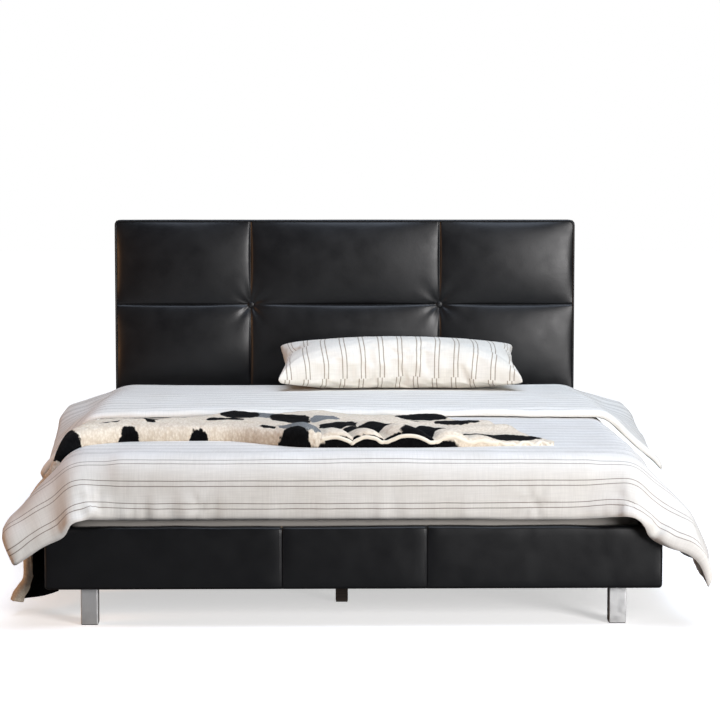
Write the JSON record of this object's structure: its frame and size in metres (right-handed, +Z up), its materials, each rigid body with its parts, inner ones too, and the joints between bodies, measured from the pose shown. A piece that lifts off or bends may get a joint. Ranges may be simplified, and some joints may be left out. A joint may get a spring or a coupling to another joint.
{
  "type": "platform bed",
  "caption": "Low double bed with an upright padded leather headboard, leather rails, square chrome legs, slats, mattress, duvet, pillow and throw.",
  "frame": {"origin": "on the floor under the middle of the bed's box", "axes": "+X across the bed to the right as seen from the foot, +Y from the foot to the headboard, +Z up"},
  "size_m": [1.8863, 2.19, 1.03],
  "materials": {
    "leather": "satin",
    "upholstery_foam": "matte",
    "board_wood": "matte",
    "plywood": "matte",
    "slat_wood": "satin",
    "dark_wood": "satin",
    "leg_chrome": "satin",
    "hanger_steel": "satin",
    "glide_nylon": "matte",
    "felt": "matte",
    "dust_cloth": "matte",
    "mattress_cloth": "matte",
    "duvet_linen": "matte",
    "pillow_linen": "matte",
    "throw_wool": "matte"
  },
  "bodies": {
    "frame": {"foot_rail_cover": "leather", "foot_rail_padding": "upholstery_foam", "foot_rail_board": "board_wood", "side_rail_cover_left": "leather", "side_rail_padding_left": "upholstery_foam", "side_rail_board_left": "board_wood", "side_rail_cover_right": "leather", "side_rail_padding_right": "upholstery_foam", "side_rail_board_right": "board_wood", "slat_ledge_left": "board_wood", "slat_ledge_right": "board_wood", "head_rail_board": "board_wood", "centre_beam": "board_wood", "beam_hanger_foot": "hanger_steel", "beam_hanger_head": "hanger_steel", "headboard_cover": "leather", "headboard_foam": "upholstery_foam", "headboard_panel": "plywood", "headboard_post_left": "board_wood", "headboard_post_right": "board_wood", "headboard_top_rail": "board_wood", "headboard_tuft_rail": "board_wood", "headboard_bottom_rail": "board_wood", "headboard_back_cover": "dust_cloth", "tuft_button_left": "leather", "tuft_button_right": "leather", "leg_front_left": "leg_chrome", "leg_glide_front_left": "glide_nylon", "corner_block_front_left": "board_wood", "leg_front_right": "leg_chrome", "leg_glide_front_right": "glide_nylon", "corner_block_front_right": "board_wood", "leg_rear_left": "leg_chrome", "leg_glide_rear_left": "glide_nylon", "corner_block_rear_left": "board_wood", "leg_rear_right": "leg_chrome", "leg_glide_rear_right": "glide_nylon", "corner_block_rear_right": "board_wood", "centre_leg_1": "dark_wood", "felt_pad_1": "felt", "centre_leg_2": "dark_wood", "felt_pad_2": "felt", "centre_leg_3": "dark_wood", "felt_pad_3": "felt", "slat_01": "slat_wood", "slat_02": "slat_wood", "slat_03": "slat_wood", "slat_04": "slat_wood", "slat_05": "slat_wood", "slat_06": "slat_wood", "slat_07": "slat_wood", "slat_08": "slat_wood", "slat_09": "slat_wood", "slat_10": "slat_wood", "slat_11": "slat_wood", "slat_12": "slat_wood"},
    "mattress": {"mattress": "mattress_cloth"},
    "duvet": {"duvet": "duvet_linen"},
    "throw": {"throw": "throw_wool"},
    "pillow": {"pillow": "pillow_linen"}
  },
  "joints": [
    {"name": "mattress_lift", "type": "slide", "parent": "frame", "child": "mattress", "axis": [0, 0, 1], "range_m": [0, 0.3]},
    {"name": "duvet_lift", "type": "slide", "parent": "mattress", "child": "duvet", "axis": [0, 0, 1], "range_m": [0, 0.4]},
    {"name": "throw_pull", "type": "slide", "parent": "duvet", "child": "throw", "axis": [-1, 0, 0], "range_m": [0, 0.45]},
    {"name": "pillow_lift", "type": "slide", "parent": "duvet", "child": "pillow", "axis": [0, 0, 1], "range_m": [0, 0.3]}
  ]
}
